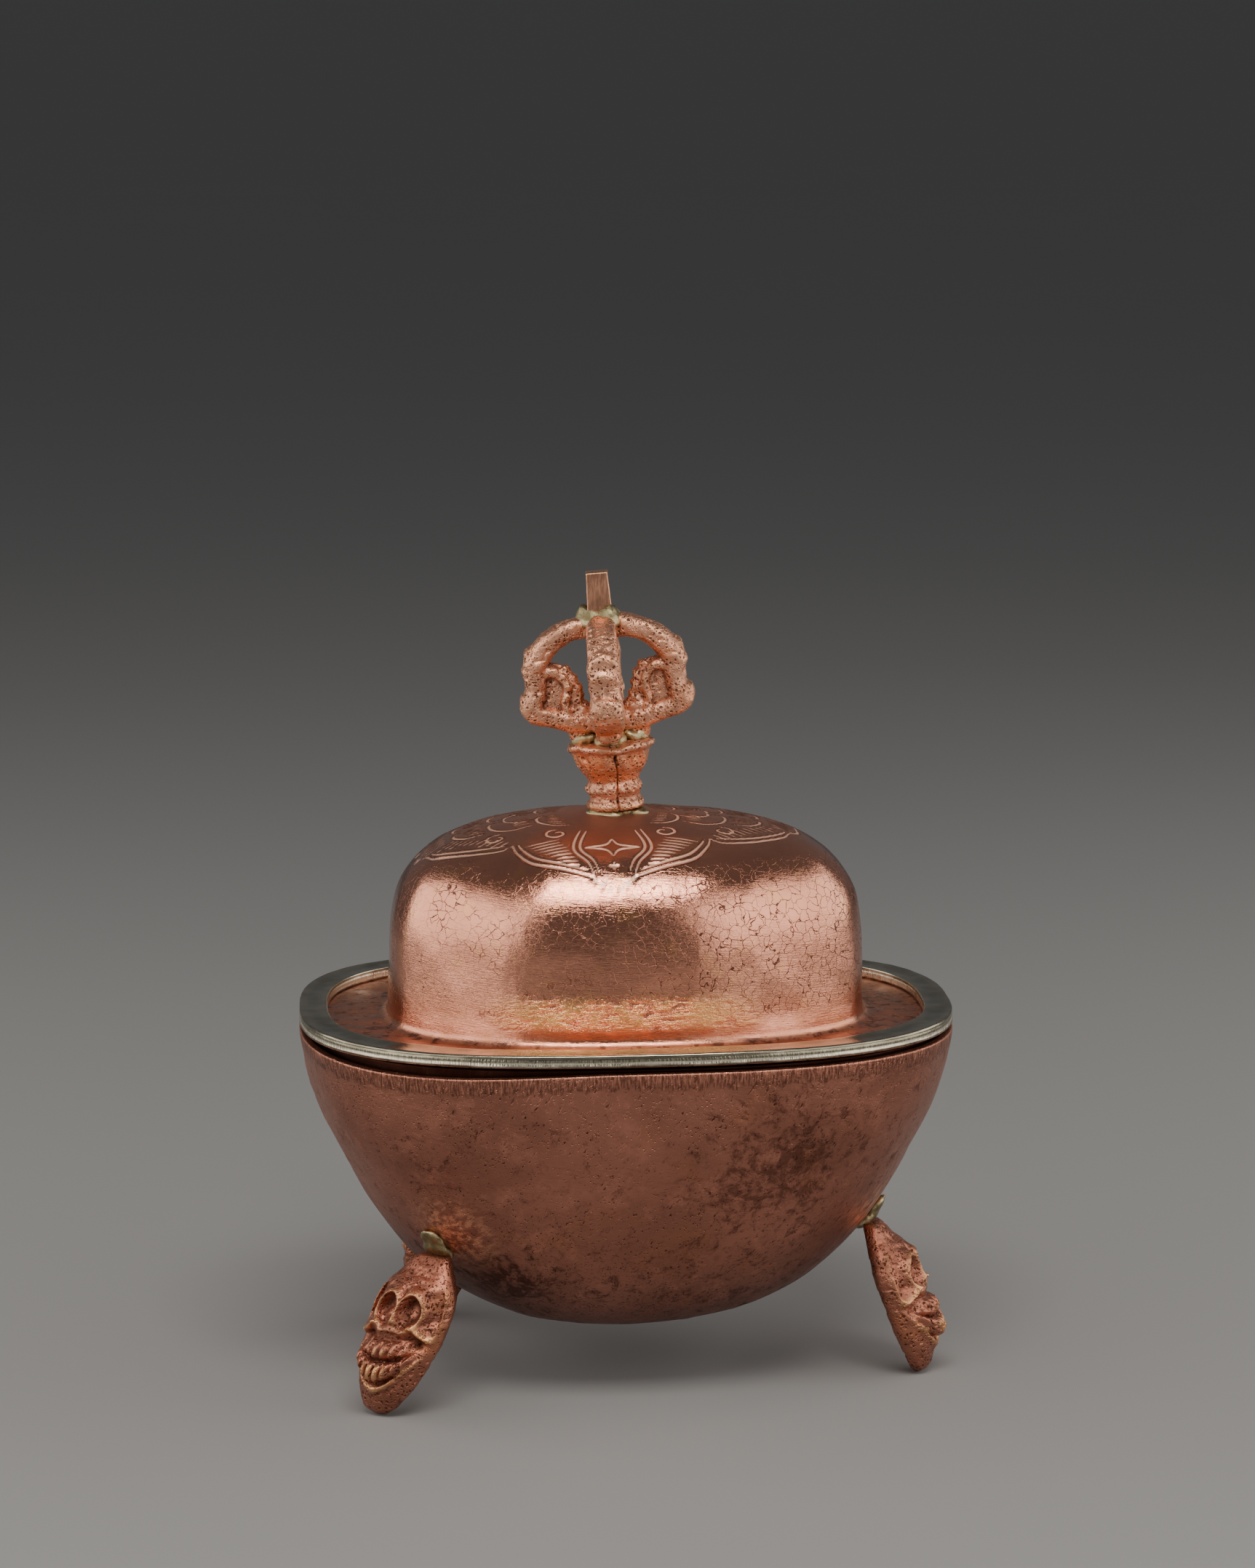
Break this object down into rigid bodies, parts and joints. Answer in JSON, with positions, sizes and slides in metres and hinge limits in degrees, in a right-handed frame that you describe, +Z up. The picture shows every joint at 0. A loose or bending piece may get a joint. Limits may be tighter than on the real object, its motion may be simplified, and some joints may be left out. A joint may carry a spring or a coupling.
{
  "type": "covered ritual bowl",
  "caption": "Oval covered offering bowl of beaten copper on cast mask feet, with a domed lid that lifts off by a cast thunderbolt crown finial.",
  "frame": {"origin": "on the ground under the middle of the lid's rim, with the lid closed", "axes": "+X along the bowl's long axis to the right of its front, +Z up, and the front faces -Y"},
  "size_m": [0.0924, 0.071, 0.1149],
  "materials": {
    "bowl_copper": "satin beaten copper, dull pinkish brown with dark pits",
    "lid_copper": "polished planished copper with engraved lines and a fine dark crackle",
    "cast_copper": "satin cast copper, pitted, worn bright on its high spots",
    "white_metal": "greenish grey white metal, filed in fine upright lines",
    "brass_solder": "pale yellow brass solder, left rough"
  },
  "bodies": {
    "bowl": {"bowl_shell": "bowl_copper", "foot_front_left": "cast_copper", "foot_right": "cast_copper", "foot_rear": "cast_copper", "foot_solder_front_left": "brass_solder", "foot_solder_right": "brass_solder", "foot_solder_rear": "brass_solder"},
    "lid": {"lid_dome": "lid_copper", "lid_rim_band": "white_metal", "lid_collar": "lid_copper", "finial_base_solder": "brass_solder", "finial_socket": "cast_copper", "finial_central_prong": "cast_copper", "crown_solder": "brass_solder", "prong_right": "cast_copper", "prong_rear": "cast_copper", "prong_left": "cast_copper", "prong_front": "cast_copper", "prong_solder_right": "brass_solder", "prong_solder_rear": "brass_solder", "prong_solder_left": "brass_solder", "prong_solder_front": "brass_solder"}
  },
  "joints": [
    {"name": "lid_lift", "type": "slide", "parent": "bowl", "child": "lid", "axis": [0, 0, 1], "range_m": [0, 0.06]}
  ]
}
